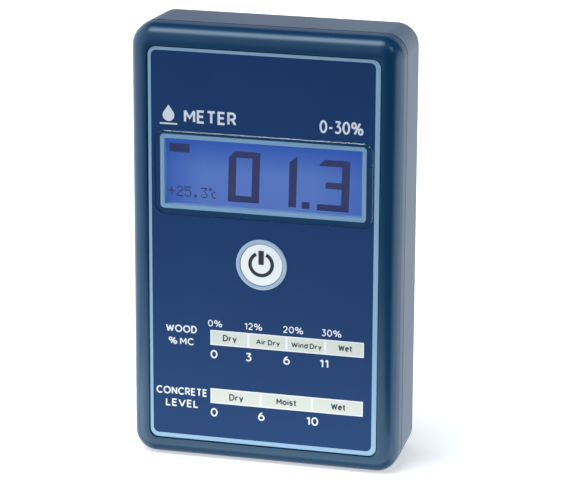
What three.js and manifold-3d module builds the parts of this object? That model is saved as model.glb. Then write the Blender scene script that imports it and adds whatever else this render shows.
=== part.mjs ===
// Hand-held moisture meter for wood and concrete: a two-shell case with a printed front,
// a backlit display, one power key, two contact electrodes and a battery bay in the back.
// Millimetres. +Z up, the front faces -Y, and the meter stands on its bottom end at z = 0.

import * as THREE from 'three';
import { mergeVertices } from 'three/addons/utils/BufferGeometryUtils.js';
import Module from 'manifold-3d';

const wasm = await Module();
wasm.setup();

// ---------------------------------------------------------------- driving dimensions

const CASE_WIDTH = 80;
const CASE_HEIGHT = 130;
const CASE_DEPTH = 27;
const ELECTRODE_PROUD = 0.5;         // how far the contact pads stand out of the back
const FRONT_SHELL_DEPTH = 8;
const OUTLINE_RADIUS = 6.5;
const FRONT_EDGE_RADIUS = 4.6;
const REAR_EDGE_RADIUS = 1.6;
const DRAFT = Math.tan(THREE.MathUtils.degToRad(1.9));
const WALL = 2.2;
const PARTING_GAP = 0.2;
const FIT_GAP = 0.15;                // air between pieces that slide past each other
const SEAT_GAP = 0.05;               // adhesive or air between faces that lie together
const ROOT = 0.5;                    // how far a post runs into the wall it stands on

const FRONT = -(CASE_DEPTH + ELECTRODE_PROUD) / 2;
const REAR = FRONT + CASE_DEPTH;
const PARTING = FRONT + FRONT_SHELL_DEPTH;
const REAR_WALL = REAR - WALL;       // inside face of the rear wall

// Front panel: depths are measured back from the front plane.
const FRONT_WALL_DEPTH = 2.4;
const LABEL = { x0: -34.35, x1: 34.05, z0: 5.7, z1: 123.9, radius: 2.5 };
const LABEL_RECESS_DEPTH = 0.6;
const LABEL_RECESS_MARGIN = 0.3;
const LABEL_DEPTH = 0.3;
const WINDOW = { x0: -32.4, x1: 32.3, z0: 74.4, z1: 99.5, radius: 3.2 };
const WINDOW_DEPTH = 0.1;
const WINDOW_THICKNESS = 0.6;
const FRAME = { x0: -30.9, x1: 30.2, z0: 76.1, z1: 98.3, radius: 1.2 };
const FRAME_WIDTH = 1.3;

// Display stack behind the front wall.
const GLASS = { x0: -32.85, x1: 32.15, z0: 74.1, z1: 99.7, radius: 0.3 };
const GLASS_DEPTH = 2.5;
const GLASS_THICKNESS = 2.8;
const HOLDER_WALL = 1.6;
const LIGHT_GUIDE = { x0: -30.2, x1: 29.6, z0: 77.1, z1: 96.7, radius: 0.5 };
const LED = { length: 1.4, gap: 0.5, setback: 0.6, z0: 85.4, z1: 88.4 };
const STRIP = { height: 2, sideMargin: 1.5, fromEdge: 1.6 };

// Circuit board, fixed to posts on the front shell.
const BOARD = { x0: -36, x1: 36, z0: 44, z1: 119.5, radius: 1 };
const BOARD_DEPTH = 8.2;
const BOARD_THICKNESS = 1.6;
const BOARD_FRONT = FRONT + BOARD_DEPTH;
const BOARD_REAR = BOARD_FRONT + BOARD_THICKNESS;
const BOARD_SCREW = {
  x: 33, z: [48, 115.5], post: 2.6, pilot: 1.1, clearance: 1.35,
  shaft: 1.05, head: 2, headHeight: 1.5, length: 6,
};

// Components on the back of the board, each as its edges or middle and its height.
const PROCESSOR = { x0: -6, x1: 6, z0: 70, z1: 82, height: 1.5 };
const CRYSTAL = { x0: 9.5, x1: 13.5, z0: 70, z1: 80, height: 3.4 };
const REGULATOR = { x0: 10, x1: 14.5, z0: 55, z1: 58.5, height: 1.5 };
const CAPACITOR = { x: -15, z: 56, radius: 3.15, height: 7 };
const TEMPERATURE_SENSOR = { x: 30, z: 108, radius: 1.6, height: 3 };

// Power key.
const KEY = { x: -0.5, z: 61.2, radius: 6.32, crown: 0.14, flangeRadius: 7.4 };
const KEY_BEZEL = { outer: 7.6, inner: 6.45, sleeve: 6.95, depth: 2.8 };
const KEY_FLANGE_THICKNESS = 0.75;
const SWITCH_SIZE = 6;
const SWITCH_HEIGHT = 3.4;
const PLUNGER = { radius: 1.75, length: 1.5, pocket: 1.4 };

// Case screws, driven from the back into posts on the front shell.
const CASE_SCREW = {
  x: 34.2, z: [6, 124], post: 3.6, shaft: 1.45, head: 2.6, headHeight: 2, length: 20,
};
const COUNTERBORE = { radius: 2.9, depth: 3.2 };

// Contact electrodes on the upper back.
const ELECTRODE = { x0: 5, x1: 29, z0: 74, z1: 120, radius: 2, seat: 1.15, backing: 1.2 };
const ELECTRODE_POST = { x: 17, z: 97, body: 2.75, neck: 1.5, cover: 0.9 };

// Battery bay, its hinged door, and the 9 V block battery in it.
const BAY = { x: 26.3, z0: 4.15, z1: 35, floor: -8.0, wall: 2.4, floorWall: 1.4 };
const DOOR = { x: 27.5, z1: 36.2, gap: 0.3 };
const BAY_TOP_WALL = 2.9;
const BAY_RIB = { x: 14, width: 1.6, y: 8.4 };
const LEAD_SLOT = { x0: 20.8, x1: 26.2, y: 2.2 };
const HINGE = { y: REAR - 2.05, z: 6.5, radius: 2.05, pin: 0.9, pinLength: 1.9, hole: 1.1 };
const HINGE_EAR = { width: 2.5, y: 8.4, z: 9.6 };
const BATTERY = { x0: -26.1, length: 46, z0: 7, height: 26.5, y0: -7.8, depth: 17.5, radius: 2.5 };
const JACKET_WALL = 0.4;
const TERMINAL_BOARD_THICKNESS = 1.3;
const TERMINAL_SPACING = 12.7;
const TERMINAL_HEIGHT = 2.45;
const SNAP = { gap: 0.4, thickness: 5.2, halfDepth: 6, halfHeight: 12.8 };
const LEAD_RADIUS = 0.65;
const NAIL_NOTCH = { radius: 8, above: 3.5, depth: 0.9 };
const FOAM = { x0: -20, x1: 14, z0: 12, z1: 30, thickness: 1 };

// ---------------------------------------------------------------- materials

function material(color, roughness, metalness = 0, extra = {}) {
  return new THREE.MeshStandardMaterial({ color, roughness, metalness, ...extra });
}

const MATERIALS = {
  casePlastic: material(0x2c4763, 0.5),
  labelFilm: material(0x29466f, 0.45),
  clearAcrylic: material(0xcfe0f0, 0.05, 0, { transparent: true, opacity: 0.3 }),
  framePlastic: material(0x819dc2, 0.35),
  displayGlass: material(0x5676c4, 0.1),
  lightGuide: material(0x6f93ee, 0.3),
  blackPlastic: material(0x1b1d20, 0.5),
  stripRubber: material(0xe7a7b4, 0.7),
  board: material(0x1f5a3a, 0.45),
  chip: material(0x141414, 0.55),
  keyPlastic: material(0xebf0f8, 0.35),
  bezelPlastic: material(0xa5b4cd, 0.35),
  electrodeRubber: material(0x232427, 0.8),
  brass: material(0xb48c4a, 0.35, 1),
  steel: material(0xa9adb2, 0.35, 1),
  batteryJacket: material(0x30353c, 0.35, 0.4),
  redWire: material(0xb3222a, 0.5),
  blackWire: material(0x1a1a1c, 0.5),
  foam: material(0x3a3c40, 0.95),
};

// ---------------------------------------------------------------- shape helpers

function roundedRect({ x0, x1, z0, z1, radius }) {
  const shape = new THREE.Shape();
  shape.moveTo(x0 + radius, z0);
  shape.lineTo(x1 - radius, z0);
  shape.absarc(x1 - radius, z0 + radius, radius, -Math.PI / 2, 0);
  shape.lineTo(x1, z1 - radius);
  shape.absarc(x1 - radius, z1 - radius, radius, 0, Math.PI / 2);
  shape.lineTo(x0 + radius, z1);
  shape.absarc(x0 + radius, z1 - radius, radius, Math.PI / 2, Math.PI);
  shape.lineTo(x0, z0 + radius);
  shape.absarc(x0 + radius, z0 + radius, radius, Math.PI, Math.PI * 1.5);
  return shape;
}

function grown(rect, by) {
  return {
    x0: rect.x0 - by,
    x1: rect.x1 + by,
    z0: rect.z0 - by,
    z1: rect.z1 + by,
    radius: Math.max(rect.radius + by, 0.2),
  };
}

// A closed geometry as a solid that can be joined and cut.
function solid(geometry) {
  const plain = geometry.clone();
  plain.deleteAttribute('normal');
  plain.deleteAttribute('uv');
  const merged = mergeVertices(plain, 1e-4);
  return new wasm.Manifold(new wasm.Mesh({
    numProp: 3,
    vertProperties: new Float32Array(merged.attributes.position.array),
    triVerts: new Uint32Array(merged.index.array),
  }));
}

function join(first, ...rest) {
  return rest.reduce((sum, piece) => sum.add(piece), first);
}

function cut(first, ...rest) {
  return rest.reduce((left, piece) => left.subtract(piece), first);
}

// A flat outline in x and z, made solid between two depths.
function slab(shape, yFront, yRear, curveSegments = 3) {
  const settings = { depth: yRear - yFront, bevelEnabled: false, curveSegments };
  const geometry = new THREE.ExtrudeGeometry(shape, settings);
  return solid(geometry.rotateX(Math.PI / 2).translate(0, yRear, 0));
}

function block(x0, x1, y0, y1, z0, z1) {
  const geometry = new THREE.BoxGeometry(x1 - x0, y1 - y0, z1 - z0);
  return solid(geometry.translate((x0 + x1) / 2, (y0 + y1) / 2, (z0 + z1) / 2));
}

// A round bar along Y.
function rod(radius, x, z, yFront, yRear, segments = 20) {
  const geometry = new THREE.CylinderGeometry(radius, radius, yRear - yFront, segments);
  return solid(geometry.translate(x, (yFront + yRear) / 2, z));
}

// A round bar along X.
function crossRod(radius, y, z, x0, x1, segments = 20) {
  const geometry = new THREE.CylinderGeometry(radius, radius, x1 - x0, segments);
  return solid(geometry.rotateZ(Math.PI / 2).translate((x0 + x1) / 2, y, z));
}

// A turned piece along Y, from pairs of radius and y that run from front to back.
function turned(profile, x, z, segments = 24) {
  const points = profile.map(([radius, y]) => new THREE.Vector2(radius, y));
  return solid(new THREE.LatheGeometry(points, segments).translate(x, 0, z));
}

// An outline in y and z, made solid between two x positions.
function bar(shape, x0, x1, curveSegments = 4) {
  const settings = { depth: x1 - x0, bevelEnabled: false, curveSegments };
  const geometry = new THREE.ExtrudeGeometry(shape, settings);
  const axes = new THREE.Matrix4().makeBasis(
    new THREE.Vector3(0, 1, 0),
    new THREE.Vector3(0, 0, 1),
    new THREE.Vector3(1, 0, 0),
  );
  return solid(geometry.applyMatrix4(axes).translate(x0, 0, 0));
}

const meter = new THREE.Group();

function addPiece(name, piece, pieceMaterial) {
  const { vertProperties, triVerts } = piece.getMesh();
  const geometry = new THREE.BufferGeometry();
  geometry.setAttribute('position', new THREE.BufferAttribute(vertProperties, 3));
  geometry.setIndex(new THREE.BufferAttribute(triVerts, 1));
  geometry.computeVertexNormals();
  const mesh = new THREE.Mesh(geometry, pieceMaterial);
  mesh.name = name;
  meter.add(mesh);
}

// ---------------------------------------------------------------- case

function caseOutline(inset) {
  return {
    x0: -CASE_WIDTH / 2 + inset,
    x1: CASE_WIDTH / 2 - inset,
    z0: inset,
    z1: CASE_HEIGHT - inset,
    radius: Math.max(OUTLINE_RADIUS - inset, 0.5),
  };
}

// The sides and the top lean in away from the parting line; the bottom stays flat.
function applyDraft(geometry, direction) {
  const position = geometry.attributes.position;
  for (let i = 0; i < position.count; i += 1) {
    const lean = DRAFT * direction * (position.getY(i) - PARTING);
    position.setX(i, position.getX(i) - Math.sign(position.getX(i)) * lean);
    if (position.getZ(i) > CASE_HEIGHT / 2) {
      position.setZ(i, position.getZ(i) - lean);
    }
  }
  return geometry;
}

// A block with the case's drafted outline; edgeRadius rounds both of its ends.
function caseBlock(inset, yFront, yRear, direction, edgeRadius = 0) {
  const settings = {
    depth: yRear - yFront - 2 * edgeRadius,
    curveSegments: 4,
    bevelEnabled: edgeRadius > 0,
    bevelThickness: edgeRadius,
    bevelSize: edgeRadius,
    bevelOffset: -edgeRadius,
    bevelSegments: edgeRadius > 2 ? 6 : 3,
  };
  const geometry = new THREE.ExtrudeGeometry(roundedRect(caseOutline(inset)), settings);
  geometry.rotateX(Math.PI / 2).translate(0, yRear - edgeRadius, 0);
  return solid(applyDraft(geometry, direction));
}

function cornerPlaces(x, heights) {
  return heights.flatMap((z) => [[-x, z], [x, z]]);
}

const CASE_SCREW_PLACES = cornerPlaces(CASE_SCREW.x, CASE_SCREW.z);
const BOARD_SCREW_PLACES = cornerPlaces(BOARD_SCREW.x, BOARD_SCREW.z);
const TONGUE = { outer: 1.2, inner: WALL, length: 1.6 };

function frontCover() {
  const rim = PARTING - PARTING_GAP / 2;
  const insideWall = FRONT + FRONT_WALL_DEPTH;
  const behind = rim + 20;
  const body = caseBlock(0, FRONT, behind, -1, FRONT_EDGE_RADIUS)
    .subtract(block(-60, 60, rim, behind + 1, -10, CASE_HEIGHT + 10));
  const hollow = caseBlock(WALL, insideWall, rim + 1, -1);
  const casePosts = CASE_SCREW_PLACES.map(
    ([x, z]) => rod(CASE_SCREW.post, x, z, insideWall - ROOT, rim),
  );
  const boardPosts = BOARD_SCREW_PLACES.map(
    ([x, z]) => rod(BOARD_SCREW.post, x, z, insideWall - ROOT, BOARD_FRONT - SEAT_GAP),
  );
  const caseHoles = CASE_SCREW_PLACES.map(
    ([x, z]) => rod(CASE_SCREW.shaft + SEAT_GAP, x, z, insideWall - 0.9, rim + 1, 16),
  );
  const boardHoles = BOARD_SCREW_PLACES.map(
    ([x, z]) => rod(BOARD_SCREW.pilot, x, z, insideWall, BOARD_FRONT + 1, 16),
  );
  const tongueGroove = cut(
    caseBlock(TONGUE.outer - FIT_GAP, rim - TONGUE.length - 0.3, rim + 1, -1),
    caseBlock(TONGUE.inner + FIT_GAP, rim - 9, rim + 9, -1),
  );
  return cut(
    join(cut(body, hollow), ...casePosts, ...boardPosts),
    tongueGroove,
    slab(roundedRect(grown(LABEL, LABEL_RECESS_MARGIN)), FRONT - 1, FRONT + LABEL_RECESS_DEPTH),
    slab(roundedRect(grown(WINDOW, FIT_GAP)), FRONT - 1,
      FRONT + WINDOW_DEPTH + WINDOW_THICKNESS + SEAT_GAP),
    slab(roundedRect(grown(FRAME, FIT_GAP)), FRONT - 1, insideWall + 1),
    rod(KEY_BEZEL.sleeve + FIT_GAP, KEY.x, KEY.z, FRONT - 1, insideWall + 1, 32),
    ...caseHoles,
    ...boardHoles,
  );
}

function bayBlocks() {
  const wall = BAY.wall;
  const rim = PARTING + PARTING_GAP / 2;
  const top = BAY.z1 + BAY_TOP_WALL;
  const inRear = block(-BAY.x - wall, BAY.x + wall, rim, REAR_WALL + 0.3, WALL - 0.3, top);
  const inFront = block(-BAY.x - wall, BAY.x + wall, BAY.floor - BAY.floorWall, rim + 0.5,
    WALL + 0.5, top);
  const hingeEars = [-1, 1].map((side) => {
    const inner = side * (BAY.x + wall - 0.2);
    const outer = inner + side * HINGE_EAR.width;
    return block(Math.min(inner, outer), Math.max(inner, outer), HINGE_EAR.y, REAR_WALL + 0.3,
      WALL - 0.3, HINGE_EAR.z);
  });
  return [inRear, inFront, ...hingeEars];
}

function bayCuts() {
  const room = block(-BAY.x, BAY.x, BAY.floor, REAR + 1, BAY.z0, BAY.z1);
  const opening = block(-DOOR.x - DOOR.gap, DOOR.x + DOOR.gap, REAR_WALL - 0.1, REAR + 1,
    BAY.z0, DOOR.z1 + DOOR.gap);
  const hingeRoom = block(-DOOR.x - DOOR.gap, DOOR.x + DOOR.gap, HINGE.y - HINGE.radius - DOOR.gap,
    REAR + 1, BAY.z0, HINGE.z + HINGE.radius + DOOR.gap);
  const leadSlot = block(LEAD_SLOT.x0, LEAD_SLOT.x1, BAY.floor, LEAD_SLOT.y, BAY.z1 - 1,
    BAY.z1 + BAY_TOP_WALL + 1);
  const pinHoles = [-1, 1].map((side) => {
    const near = side * (DOOR.x - 0.5);
    const far = side * (DOOR.x + DOOR.gap + HINGE.pinLength + FIT_GAP);
    return crossRod(HINGE.hole, HINGE.y, HINGE.z, Math.min(near, far), Math.max(near, far));
  });
  return [room, opening, hingeRoom, leadSlot, ...pinHoles];
}

// Two ribs in the bay hold the battery clear of the hinge.
function bayRibs() {
  const half = BAY_RIB.width / 2;
  return [-BAY_RIB.x, BAY_RIB.x].map((x) => block(x - half, x + half, BAY.floor - 0.2, BAY_RIB.y,
    BAY.z0 - 0.2, BATTERY.z0 - SEAT_GAP));
}

function electrodeRect(side) {
  const { x0, x1, z0, z1, radius } = ELECTRODE;
  return side > 0 ? { x0, x1, z0, z1, radius } : { x0: -x1, x1: -x0, z0, z1, radius };
}

function rearCover() {
  const rim = PARTING + PARTING_GAP / 2;
  const ahead = rim - 12;
  const body = caseBlock(0, ahead, REAR, 1, REAR_EDGE_RADIUS)
    .subtract(block(-60, 60, ahead - 1, rim, -10, CASE_HEIGHT + 10));
  const hollow = caseBlock(WALL, rim - 1, REAR_WALL, 1);
  const tongue = cut(
    caseBlock(TONGUE.outer, rim - PARTING_GAP - TONGUE.length, rim + 0.5, 1),
    caseBlock(TONGUE.inner, rim - 9, rim + 9, 1),
  );
  const posts = CASE_SCREW_PLACES.map(
    ([x, z]) => rod(CASE_SCREW.post, x, z, rim, REAR_WALL + ROOT),
  );
  const screwHoles = CASE_SCREW_PLACES.flatMap(([x, z]) => [
    rod(CASE_SCREW.shaft + 0.2, x, z, rim - 1, REAR, 16),
    rod(COUNTERBORE.radius, x, z, REAR - COUNTERBORE.depth, REAR + 1),
  ]);
  const electrodeSeats = [-1, 1].map((side) => slab(
    roundedRect(grown(electrodeRect(side), FIT_GAP)), REAR - ELECTRODE.seat - SEAT_GAP, REAR + 1,
  ));
  const electrodeBacking = [-1, 1].map((side) => slab(
    roundedRect(grown(electrodeRect(side), 1)), REAR_WALL - ELECTRODE.backing, REAR_WALL + 0.2,
  ));
  const postHoles = [-1, 1].map((side) => rod(
    ELECTRODE_POST.neck + 0.2, side * ELECTRODE_POST.x, ELECTRODE_POST.z, 5, REAR, 16,
  ));
  const shell = join(cut(body, hollow), tongue, ...posts, ...electrodeBacking, ...bayBlocks());
  const opened = cut(shell, ...bayCuts(), ...screwHoles, ...electrodeSeats, ...postHoles);
  return join(opened, ...bayRibs());
}

// A screw with a cross recess; it points towards the front.
function crossScrew(x, z, seat, length, shaftRadius, headRadius, headHeight) {
  const screw = turned([
    [0, seat - length],
    [shaftRadius * 0.4, seat - length],
    [shaftRadius, seat - length + 1],
    [shaftRadius, seat],
    [headRadius, seat],
    [headRadius, seat + headHeight * 0.6],
    [headRadius * 0.75, seat + headHeight * 0.92],
    [headRadius * 0.4, seat + headHeight],
    [0, seat + headHeight],
  ], x, z, 12);
  const reach = headRadius * 0.6;
  const half = headRadius * 0.12;
  const floor = seat + headHeight * 0.45;
  const top = seat + headHeight + 1;
  return cut(
    screw,
    block(x - reach, x + reach, floor, top, z - half, z + half),
    block(x - half, x + half, floor, top, z - reach, z + reach),
  );
}

function addCase() {
  addPiece('front_cover', frontCover(), MATERIALS.casePlastic);
  addPiece('rear_cover', rearCover(), MATERIALS.casePlastic);
  CASE_SCREW_PLACES.forEach(([x, z], i) => {
    const seat = REAR - COUNTERBORE.depth + SEAT_GAP;
    const screw = crossScrew(x, z, seat, CASE_SCREW.length, CASE_SCREW.shaft, CASE_SCREW.head,
      CASE_SCREW.headHeight);
    addPiece(`case_screw_${i + 1}`, screw, MATERIALS.steel);
  });
}

// ---------------------------------------------------------------- front panel

function frontLabel() {
  const label = FRONT + LABEL_DEPTH;
  const floor = FRONT + LABEL_RECESS_DEPTH - SEAT_GAP;
  return cut(
    slab(roundedRect(LABEL), label, floor),
    slab(roundedRect(grown(WINDOW, FIT_GAP)), FRONT - 1, floor + 1),
    rod(KEY_BEZEL.sleeve + FIT_GAP, KEY.x, KEY.z, FRONT - 1, floor + 1, 32),
  );
}

function displayFrame() {
  const near = FRONT + WINDOW_DEPTH + WINDOW_THICKNESS + SEAT_GAP;
  const far = FRONT + GLASS_DEPTH - SEAT_GAP;
  return cut(
    slab(roundedRect(FRAME), near, far),
    slab(roundedRect(grown(FRAME, -FRAME_WIDTH)), near - 1, far + 1),
  );
}

function addFrontPanel() {
  const windowFront = FRONT + WINDOW_DEPTH;
  const windowPlate = slab(roundedRect(WINDOW), windowFront, windowFront + WINDOW_THICKNESS);
  addPiece('front_label', frontLabel(), MATERIALS.labelFilm);
  addPiece('display_window', windowPlate, MATERIALS.clearAcrylic);
  addPiece('display_frame', displayFrame(), MATERIALS.framePlastic);
}

// ---------------------------------------------------------------- display

function addDisplay() {
  const glassFront = FRONT + GLASS_DEPTH;
  const glassRear = glassFront + GLASS_THICKNESS;
  const stripFront = glassRear + SEAT_GAP;
  const stripRear = BOARD_FRONT - SEAT_GAP;
  const holder = cut(
    slab(roundedRect(grown(GLASS, FIT_GAP + HOLDER_WALL)), glassFront, stripRear),
    slab(roundedRect(grown(GLASS, FIT_GAP)), glassFront - 1, stripRear + 1),
  );
  const strip = (z) => block(GLASS.x0 + STRIP.sideMargin, GLASS.x1 - STRIP.sideMargin,
    stripFront, stripRear, z - STRIP.height / 2, z + STRIP.height / 2);
  const ledEnd = LIGHT_GUIDE.x0 - LED.gap;
  addPiece('lcd_glass', slab(roundedRect(GLASS), glassFront, glassRear),
    MATERIALS.displayGlass);
  addPiece('lcd_holder', holder, MATERIALS.blackPlastic);
  addPiece('contact_strip_top', strip(GLASS.z1 - STRIP.fromEdge), MATERIALS.stripRubber);
  addPiece('contact_strip_bottom', strip(GLASS.z0 + STRIP.fromEdge), MATERIALS.stripRubber);
  addPiece('light_guide', slab(roundedRect(LIGHT_GUIDE), stripFront, stripRear),
    MATERIALS.lightGuide);
  addPiece('backlight_led',
    block(ledEnd - LED.length, ledEnd, stripFront + LED.setback, stripRear, LED.z0, LED.z1),
    MATERIALS.keyPlastic);
}

// ---------------------------------------------------------------- circuit board

function circuitBoard() {
  const holes = BOARD_SCREW_PLACES.map(
    ([x, z]) => rod(BOARD_SCREW.clearance, x, z, BOARD_FRONT - 1, BOARD_REAR + 1, 16),
  );
  return cut(slab(roundedRect(BOARD), BOARD_FRONT, BOARD_REAR), ...holes);
}

function addBoard() {
  const seat = BOARD_REAR + SEAT_GAP;
  addPiece('circuit_board', circuitBoard(), MATERIALS.board);
  BOARD_SCREW_PLACES.forEach(([x, z], i) => {
    const { length, shaft, head, headHeight } = BOARD_SCREW;
    const screw = crossScrew(x, z, seat, length, shaft, head, headHeight);
    addPiece(`board_screw_${i + 1}`, screw, MATERIALS.steel);
  });
  const square = ({ x0, x1, z0, z1, height }) => block(x0, x1, seat, seat + height, z0, z1);
  const round = ({ x, z, radius, height }) => rod(radius, x, z, seat, seat + height);
  addPiece('processor', square(PROCESSOR), MATERIALS.chip);
  addPiece('crystal', square(CRYSTAL), MATERIALS.steel);
  addPiece('regulator', square(REGULATOR), MATERIALS.chip);
  addPiece('capacitor', round(CAPACITOR), MATERIALS.steel);
  addPiece('temperature_sensor', round(TEMPERATURE_SENSOR), MATERIALS.chip);
}

// ---------------------------------------------------------------- power key

function powerKey() {
  const front = FRONT;
  const flange = FRONT + KEY_BEZEL.depth + FIT_GAP;
  const back = flange + KEY_FLANGE_THICKNESS;
  const crownSteps = [0.35, 0.6, 0.8, 0.92];
  const crown = crownSteps.map((t) => [KEY.radius * t, front + KEY.crown * t ** 3]);
  return turned([
    [0, front],
    ...crown,
    [KEY.radius, front + KEY.crown + 0.12],
    [KEY.radius, flange],
    [KEY.flangeRadius, flange],
    [KEY.flangeRadius, back],
    [0, back],
  ], KEY.x, KEY.z, 32);
}

function keyBezel() {
  const front = FRONT;
  const label = FRONT + LABEL_DEPTH - SEAT_GAP;
  const back = FRONT + KEY_BEZEL.depth;
  return turned([
    [KEY_BEZEL.inner, back],
    [KEY_BEZEL.inner, front + 0.12],
    [KEY_BEZEL.inner + 0.3, front],
    [KEY_BEZEL.outer - 0.5, front],
    [KEY_BEZEL.outer, label - 0.05],
    [KEY_BEZEL.outer, label],
    [KEY_BEZEL.sleeve, label],
    [KEY_BEZEL.sleeve, back],
    [KEY_BEZEL.inner, back],
  ], KEY.x, KEY.z, 32);
}

function addKey() {
  const keyBack = FRONT + KEY_BEZEL.depth + FIT_GAP + KEY_FLANGE_THICKNESS;
  const switchRear = BOARD_FRONT - SEAT_GAP;
  const switchFront = switchRear - SWITCH_HEIGHT;
  const half = SWITCH_SIZE / 2;
  const plungerFront = keyBack + SEAT_GAP;
  const housing = cut(
    block(KEY.x - half, KEY.x + half, switchFront, switchRear, KEY.z - half, KEY.z + half),
    rod(PLUNGER.radius + FIT_GAP, KEY.x, KEY.z, switchFront - 1, switchFront + PLUNGER.pocket),
  );
  addPiece('power_button', powerKey(), MATERIALS.keyPlastic);
  addPiece('button_bezel', keyBezel(), MATERIALS.bezelPlastic);
  addPiece('power_switch', housing, MATERIALS.blackPlastic);
  addPiece('switch_plunger',
    rod(PLUNGER.radius, KEY.x, KEY.z, plungerFront, plungerFront + PLUNGER.length),
    MATERIALS.blackPlastic);
}

// ---------------------------------------------------------------- electrodes

function addElectrodes() {
  const padFront = REAR - ELECTRODE.seat;
  const padRear = REAR + ELECTRODE_PROUD;
  const neckEnd = padRear - ELECTRODE_POST.cover;
  [['left', -1], ['right', 1]].forEach(([name, side]) => {
    const x = side * ELECTRODE_POST.x;
    const z = ELECTRODE_POST.z;
    const pad = cut(
      slab(roundedRect(electrodeRect(side)), padFront, padRear),
      rod(ELECTRODE_POST.neck + 0.1, x, z, padFront - 1, neckEnd + 0.1, 16),
    );
    const shoulder = REAR_WALL - ELECTRODE.backing - SEAT_GAP;
    const post = turned([
      [0, BOARD_REAR + SEAT_GAP],
      [ELECTRODE_POST.body, BOARD_REAR + SEAT_GAP],
      [ELECTRODE_POST.body, shoulder],
      [ELECTRODE_POST.neck, shoulder],
      [ELECTRODE_POST.neck, neckEnd],
      [0, neckEnd],
    ], x, z, 12);
    addPiece(`electrode_${name}`, pad, MATERIALS.electrodeRubber);
    addPiece(`electrode_post_${name}`, post, MATERIALS.brass);
  });
}

// ---------------------------------------------------------------- battery and door

const BATTERY_END = BATTERY.x0 + BATTERY.length;
const BATTERY_Y = BATTERY.y0 + BATTERY.depth / 2;
const BATTERY_Z = BATTERY.z0 + BATTERY.height / 2;
const TERMINALS = [
  { name: 'positive', z: BATTERY_Z - TERMINAL_SPACING / 2, radius: 2.9 },
  { name: 'negative', z: BATTERY_Z + TERMINAL_SPACING / 2, radius: 4.2 },
];

// The battery's cross-section in y and z.
function batteryOutline(inset) {
  return roundedRect({
    x0: BATTERY.y0 + inset,
    x1: BATTERY.y0 + BATTERY.depth - inset,
    z0: BATTERY.z0 + inset,
    z1: BATTERY.z0 + BATTERY.height - inset,
    radius: BATTERY.radius - inset,
  });
}

function addBattery() {
  const inside = JACKET_WALL + SEAT_GAP;
  const boardFoot = BATTERY_END - TERMINAL_BOARD_THICKNESS;
  const jacket = cut(
    bar(batteryOutline(0), BATTERY.x0, BATTERY_END),
    bar(batteryOutline(JACKET_WALL), BATTERY.x0 + JACKET_WALL, BATTERY_END + 1),
  );
  const cells = bar(batteryOutline(inside), BATTERY.x0 + inside, boardFoot - SEAT_GAP);
  const terminalBoard = bar(batteryOutline(inside), boardFoot, BATTERY_END);
  const terminalFoot = BATTERY_END + SEAT_GAP;
  const terminalTop = terminalFoot + TERMINAL_HEIGHT;
  const sockets = TERMINALS.map(({ z, radius }) => crossRod(
    radius + 0.3, BATTERY_Y, z, BATTERY_END - 1, terminalTop + 0.2,
  ));
  const snapFoot = BATTERY_END + SNAP.gap;
  const snap = cut(
    block(snapFoot, snapFoot + SNAP.thickness, BATTERY_Y - SNAP.halfDepth,
      BATTERY_Y + SNAP.halfDepth, BATTERY_Z - SNAP.halfHeight, BATTERY_Z + SNAP.halfHeight),
    ...sockets,
  );
  addPiece('battery_jacket', jacket, MATERIALS.batteryJacket);
  addPiece('battery_cells', cells, MATERIALS.chip);
  addPiece('battery_terminal_board', terminalBoard, MATERIALS.blackPlastic);
  TERMINALS.forEach(({ name, z, radius }) => {
    addPiece(`battery_terminal_${name}`,
      crossRod(radius, BATTERY_Y, z, terminalFoot, terminalTop), MATERIALS.steel);
  });
  addPiece('battery_snap', snap, MATERIALS.blackPlastic);
}

// A wire from the battery snap, up through the bay's slot, to the back of the board.
function lead(x, boardX) {
  const start = BATTERY_Z + SNAP.halfHeight + SEAT_GAP;
  const route = new THREE.CatmullRomCurve3([
    new THREE.Vector3(x, -1.2, start),
    new THREE.Vector3(x, -1.0, start + 2.5),
    new THREE.Vector3(x, 0.2, 40),
    new THREE.Vector3((x + boardX) / 2, 1.6, 45),
    new THREE.Vector3(boardX, 0.8, 50),
    new THREE.Vector3(boardX, -2, 52),
    new THREE.Vector3(boardX, BOARD_REAR + SEAT_GAP, 52.2),
  ]);
  const section = new THREE.Shape().absarc(0, 0, LEAD_RADIUS, 0, Math.PI * 2);
  const settings = { steps: 28, curveSegments: 4, bevelEnabled: false, extrudePath: route };
  return solid(new THREE.ExtrudeGeometry(section, settings));
}

function batteryDoor() {
  const inner = REAR_WALL;
  const profile = new THREE.Shape();
  profile.moveTo(inner, DOOR.z1);
  profile.lineTo(inner, HINGE.z + 1.6);
  profile.lineTo(HINGE.y - 1.1, HINGE.z + 0.5);
  profile.lineTo(HINGE.y - 1.1, HINGE.z - 0.5);
  profile.lineTo(HINGE.y, HINGE.z - HINGE.radius);
  profile.absarc(HINGE.y, HINGE.z, HINGE.radius, -Math.PI / 2, 0);
  profile.lineTo(REAR, DOOR.z1);
  const pins = [-1, 1].map((side) => {
    const near = side * (DOOR.x - 1);
    const far = side * (DOOR.x + HINGE.pinLength);
    return crossRod(HINGE.pin, HINGE.y, HINGE.z, Math.min(near, far), Math.max(near, far));
  });
  const catchBlock = block(-4, 4, inner - 1.5, inner + 0.3, BAY.z1 - 1.2, BAY.z1 - 0.3);
  const nailNotch = rod(NAIL_NOTCH.radius, 0, DOOR.z1 + NAIL_NOTCH.above,
    REAR - NAIL_NOTCH.depth, REAR + 1, 32);
  return cut(join(bar(profile, -DOOR.x, DOOR.x), ...pins, catchBlock), nailNotch);
}

function addDoor() {
  addPiece('battery_door', batteryDoor(), MATERIALS.casePlastic);
  const foamBack = REAR_WALL - SEAT_GAP;
  const foam = block(FOAM.x0, FOAM.x1, foamBack - FOAM.thickness, foamBack, FOAM.z0, FOAM.z1);
  addPiece('door_foam_pad', foam, MATERIALS.foam);
}

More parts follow.
